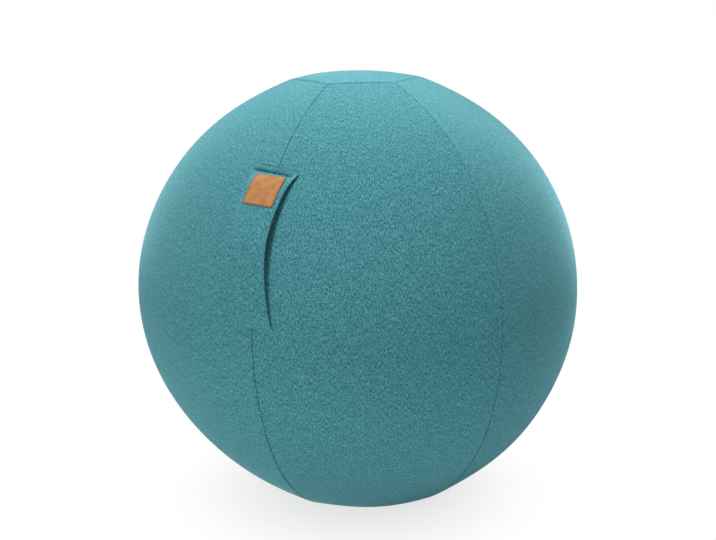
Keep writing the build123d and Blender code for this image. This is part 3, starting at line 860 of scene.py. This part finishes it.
# leather patch just below the strap's top seam, sewn on a little askew
patch = {
    "length": 0.0460,
    "width": 0.0450,
    "thick": 0.0013,
    "middle": (0.0302, -0.0054),   # from the strap's top end, and from the seam
    "turn": 4.3,
    "corner": 0.0018,
    "mesh": 0.002,
}


def patchPlace(run, lateral):
    a, r = math.radians(patch["turn"]), run - patch["length"] / 2
    distance = patch["middle"][0] + r * math.cos(a) + lateral * math.sin(a)
    return strapSurface(distance, patch["middle"][1] + lateral * math.cos(a) - r * math.sin(a))


patchLengths = edgeSteps(patch["length"], patch["thick"] / 2, patch["mesh"])
patchOffset = (strap["faceThick"] + patch["thick"]) / 2 + strap["layerGap"]
leatherPatch = padSheet(
    "leatherPatch", patchLengths, lambda run: np.full(np.shape(run), patch["width"]), patchPlace,
    patch["thick"], leatherMaterial, patchOffset, patch["corner"],
)
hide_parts("leather_patch")
handleBlend(leatherPatch)

# turned-under ends, sewn flat on the cover below the strap
flap = {"length": 0.010, "thick": 0.0009, "inset": 0.006, "setback": 0.006, "gap": 0.0002, "mesh": 0.002}
for name, node, atTop in (
    ("strapEndTop", "strap_end_top", True),
    ("strapEndBottom", "strap_end_bottom", False),
):
    end = 0 if atTop else 2
    inner = flap["setback"] + flap["length"]
    width = float(strapSpan(inner if atTop else strapLength - inner)) - 2 * flap["inset"]

    def flapSurface(run, lateral, atTop=atTop, shift=strap["sway"][end], skew=strap["skew"][end // 2]):
        x = (-1 if atTop else 1) * (chordLength / 2 - flap["setback"] - run) + skew * lateral
        lateral = lateral + shift
        height = coverHeight(x, lateral) + flap["gap"] + flap["thick"] / 2
        point = chordMiddle + x[..., None] * along + lateral[..., None] * sideways
        point = point + height[..., None] * lift
        return point, np.broadcast_to(lift, point.shape)

    flapLengths = edgeSteps(flap["length"], flap["thick"] / 2, flap["mesh"])
    piece = padSheet(
        name, flapLengths, lambda run: np.full(np.shape(run), width), flapSurface,
        flap["thick"], feltLiningPaintedShade, uvShift=0.71,
    )
    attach(piece, "cover")
    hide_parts(node)
print("strap and leather patch made")


def tubes(name, paths, radius, material, sides=6, endSize=0.45):  # short threads, drawn in at their ends
    vertices, faces = [], []
    for path in paths:
        path = np.asarray(path, float)
        first = len(vertices)
        tangents = np.gradient(path, axis=0)
        tangents /= np.linalg.norm(tangents, axis=1, keepdims=True)
        reference = np.cross(tangents[0], lift)
        reference /= np.linalg.norm(reference)
        for i, (point, tangent) in enumerate(zip(path, tangents)):
            one = np.cross(tangent, reference)
            one /= np.linalg.norm(one)
            two = np.cross(tangent, one)
            size = radius * (endSize if i in (0, len(path) - 1) else 1.0)
            for k in range(sides):
                a = 2 * math.pi * k / sides
                vertices.append(point + size * (math.cos(a) * one + math.sin(a) * two))
        for i in range(len(path) - 1):
            for k in range(sides):
                n = (k + 1) % sides
                faces.append((first + i * sides + k, first + i * sides + n,
                              first + (i + 1) * sides + n, first + (i + 1) * sides + k))
        faces.append(tuple(first + k for k in range(sides))[::-1])
        faces.append(tuple(first + (len(path) - 1) * sides + k for k in range(sides)))
    piece = meshObject(name, vertices, faces, material)
    cleanMesh(piece)
    return piece


# overcast stitches that sew the strap's top edge down, in the crease beside the cover
stitching = {
    "pitch": 0.0020,
    "reach": 0.0040,
    "radius": 0.0005,
    "slant": 0.0016,
    "inset": (0.002, 0.006),    # from the strap's left and right edge
    "points": 7,
}
stitchPaths = []
halfSpan = float(strapSpan(0.0)) / 2
firstStitch, lastStitch = stitching["inset"][0] - halfSpan, halfSpan - stitching["inset"][1]
t = np.linspace(-1, 1, stitching["points"])
for lateral in np.arange(firstStitch, lastStitch, stitching["pitch"]):
    point, normal = strapPlace(t * stitching["reach"] / 2, lateral + t * stitching["slant"] / 2)
    stitchPaths.append(point + normal * (strap["faceThick"] / 2 + strap["layerGap"]))
topStitches = tubes("strapTopStitches", stitchPaths, stitching["radius"], threadMaterial)
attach(topStitches, "cover")

# zip round the base
zipper = {
    "radius": 0.3173,       # of the tapes' middle, from the ball's centre
    "tapeEdge": 0.0014,
    "tapeWidth": 0.015,
    "tapeThick": 0.0008,
    "pitch": 0.004,
    "toothWidth": 0.0015,
    "toothHeight": 0.0024,
    "toothReach": 0.0009,
    "toothRoot": 0.0034,
    "bevel": 0.0003,
    "margin": 0.010,
    "count": 107,
    "stopLength": 0.003,    # of the stops at the far end
    "stopBevel": 0.0004,
    "mesh": (221, 9),       # of a tape, along and across
}
stepAngle = math.degrees(zipper["pitch"] / cover["seamRadius"])
chainStart = math.degrees(zipper["margin"] / cover["seamRadius"]) - cover["zipEnd"]


def zipPlace(azimuth, across):
    radius = zipper["radius"]
    tilt = math.asin(cover["seamRadius"] / radius) + across / radius
    return centre + heading(azimuth) * (radius * math.sin(tilt)) - up * (radius * math.cos(tilt))


def toothBlock(length, thickness, width, bevel):
    work = bmesh.new()
    bmesh.ops.create_cube(work, size=1.0, matrix=Matrix.Diagonal((length, thickness, width, 1)))
    bmesh.ops.bevel(work, geom=work.edges[:], offset=bevel, segments=2, affect="EDGES", profile=0.6)
    vertices = np.array([v.co for v in work.verts])
    faces = [tuple(v.index for v in f.verts) for f in work.faces]
    work.free()
    return vertices, faces


for side, tapeName, teethName, node, lag in (
    (1, "zipTapePanels", "zipTeethPanels", "zip_stringer_panels", 0.0),
    (-1, "zipTapeBase", "zipTeethBase", "zip_stringer_base", 0.5),
):
    azimuths = np.linspace(-cover["zipEnd"], cover["zipEnd"], zipper["mesh"][0])
    acrosses = side * (zipper["tapeEdge"] + np.linspace(0, zipper["tapeWidth"], zipper["mesh"][1]))
    points = np.array([zipPlace(a, c) for c in acrosses for a in azimuths])
    uv = np.array([(math.radians(a) * cover["seamRadius"], c) for c in acrosses for a in azimuths])
    faces = gridFaces(len(acrosses), len(azimuths))
    if side < 0:
        faces = [f[::-1] for f in faces]
    tapePiece = meshObject(tapeName, points, faces, tapeMaterial, uv)
    thicken(tapePiece, zipper["tapeThick"]).modifiers[0].offset = 0
    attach(tapePiece, "cover")
    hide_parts(node)
    root, reach, height = zipper["toothRoot"], zipper["toothReach"], zipper["toothHeight"]
    block, blockFaces = toothBlock(root + reach, height, zipper["toothWidth"], zipper["bevel"])
    stopBlock, stopFaces = toothBlock(root, height, zipper["stopLength"], zipper["stopBevel"])
    vertices, faces = [], []
    places = [(chainStart + (k + lag) * stepAngle, block, blockFaces, (root - reach) / 2)
              for k in range(zipper["count"])]
    places.append((-chainStart, stopBlock, stopFaces, (zipper["tapeEdge"] + root) / 2))
    for azimuth, shape, shapeFaces, middle in places:
        origin = zipPlace(azimuth, side * middle)
        outwards = (origin - centre) / np.linalg.norm(origin - centre)
        runs = heading(azimuth + 90)
        acrossWay = np.cross(runs, outwards)
        first = len(vertices)
        vertices.extend(origin + shape @ np.stack([acrossWay, outwards, runs]))
        faces.extend(tuple(first + i for i in f) for f in shapeFaces)
    teethPiece = meshObject(teethName, vertices, faces, teethMaterial)
    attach(teethPiece, "cover")
print("zip made")

for node, material in (
    ("zip_slider", sliderMaterial), ("zip_pull", sliderMaterial), ("zip_bottom_stop", sliderMaterial),
    ("valve_plug", plugMaterial),
):
    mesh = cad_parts[node].data
    mesh.materials.clear()
    mesh.materials.append(material)

# floor, light and camera
studio = {
    "world": 0.04,
    "floorHalf": 20.0,
    "floorLevel": -0.0006,          # just clear of the ball
    "paper": "#f6f6f6",
    "white": "#ffffff",
    "shadowReach": (0.04, 0.32),    # the floor is plain white beyond this distance from the ball
    "paperWhite": 0.70,             # and so much of it is under the ball
    "lamps": {                      # azimuth and elevation in degrees, then distance, size and power
        "topSoftbox": (25.0, 84.0, 2.3, 0.5, 26.8),
        "frontFill": (-4.0, 17.0, 2.6, 0.6, 19.9),
        "backSoftbox": (200.0, 56.0, 2.4, 1.3, 31.0),
        "rightSoftbox": (100.0, 66.0, 2.4, 1.0, 9.8),
        "rightRim": (178.0, 32.0, 2.4, 1.3, 13.4),
    },
}


def seenShare(tree):  # 1 where the background is seen, also in a gloss or through something clear
    path = addNode(tree, "ShaderNodeLightPath")
    seen = path.outputs["Is Camera Ray"]
    for ray in ("Is Glossy Ray", "Is Transmission Ray"):
        seen = addNode(tree, "ShaderNodeMath", {
            0: seen, 1: path.outputs[ray]}, operation="MAXIMUM").outputs[0]
    return seen


# Matt white paper: no gloss, so only the ball's soft shadow shows on it
floorMaterial, tree = newMaterial("matWhitePaper")
place = addNode(tree, "ShaderNodeTexCoord").outputs["Object"]
distance = addNode(tree, "ShaderNodeVectorMath", {0: place}, operation="LENGTH").outputs["Value"]
far = addNode(tree, "ShaderNodeMapRange", {
    "Value": distance, "From Min": studio["shadowReach"][0], "From Max": studio["shadowReach"][1],
    "To Min": studio["paperWhite"],
}, interpolation_type="SMOOTHSTEP").outputs["Result"]
share = addNode(tree, "ShaderNodeMath", {0: far, 1: seenShare(tree)}, operation="MULTIPLY").outputs[0]
paper = addNode(tree, "ShaderNodeBsdfDiffuse", {"Color": linear(studio["paper"])})
white = addNode(tree, "ShaderNodeEmission", {"Color": linear(studio["white"]), "Strength": 1.0})
finishSurface(tree, addNode(tree, "ShaderNodeMixShader", {
    0: share, 1: paper.outputs[0], 2: white.outputs[0],
}))
h, level = studio["floorHalf"], studio["floorLevel"]
floorCorners = [(-h, -h, level), (h, -h, level), (h, h, level), (-h, h, level)]
floor = meshObject("floorSheet", floorCorners, [(0, 1, 2, 3)], floorMaterial)

world = bpy.data.worlds.new("paleStudio")
bpy.context.scene.world = world
world.use_nodes = True
tree = world.node_tree
tree.nodes.clear()
strength = addNode(tree, "ShaderNodeMapRange", {
    "Value": seenShare(tree), "To Min": studio["world"], "To Max": 1.0,
}).outputs["Result"]
sky = addNode(tree, "ShaderNodeBackground", {"Color": linear(studio["white"]), "Strength": strength})
addNode(tree, "ShaderNodeOutputWorld", {"Surface": sky.outputs[0]})

for name, (azimuth, elevation, distance, size, power) in studio["lamps"].items():
    e = math.radians(elevation)
    away = heading(azimuth) * math.cos(e) + up * math.sin(e)
    lamp = bpy.data.lights.new(name, "AREA")
    lamp.shape = "DISK"
    lamp.size = size
    lamp.energy = power
    light = bpy.data.objects.new(name, lamp)
    light.location = centre + away * distance
    light.rotation_euler = Vector(-away).to_track_quat("-Z", "Y").to_euler()
    light.visible_camera = False
    bpy.context.scene.collection.objects.link(light)

# angles in degrees, distance in metres, focal length and the ball's place in the image's pixels
lens = {"azimuth": 25.06, "elevation": 15.585, "roll": -0.625, "distance": 1.819, "focal": 1209.5}
image = {"width": 716, "height": 540, "ballX": 358.8, "ballY": 287.1}
sensorWidth = 36.0
e = math.radians(lens["elevation"])
back = Vector(heading(lens["azimuth"]) * math.cos(e) + up * math.sin(e))
camera = bpy.data.cameras.new("photoCamera")
camera.sensor_fit = "HORIZONTAL"
camera.sensor_width = sensorWidth
camera.lens = lens["focal"] * sensorWidth / image["width"]
camera.shift_x = (image["width"] / 2 - image["ballX"]) / image["width"]
camera.shift_y = (image["ballY"] - image["height"] / 2) / image["width"]
camera.clip_end = 3 * studio["floorHalf"]
eye = bpy.data.objects.new("photoCamera", camera)
turn = (-back).to_track_quat("-Z", "Y").to_matrix() @ Matrix.Rotation(math.radians(lens["roll"]), 3, "Z")
eye.matrix_world = Matrix.Translation(Vector(centre) + back * lens["distance"]) @ turn.to_4x4()
bpy.context.scene.collection.objects.link(eye)
bpy.context.scene.camera = eye
bpy.context.scene.view_settings.view_transform = "Standard"
print("studio set")
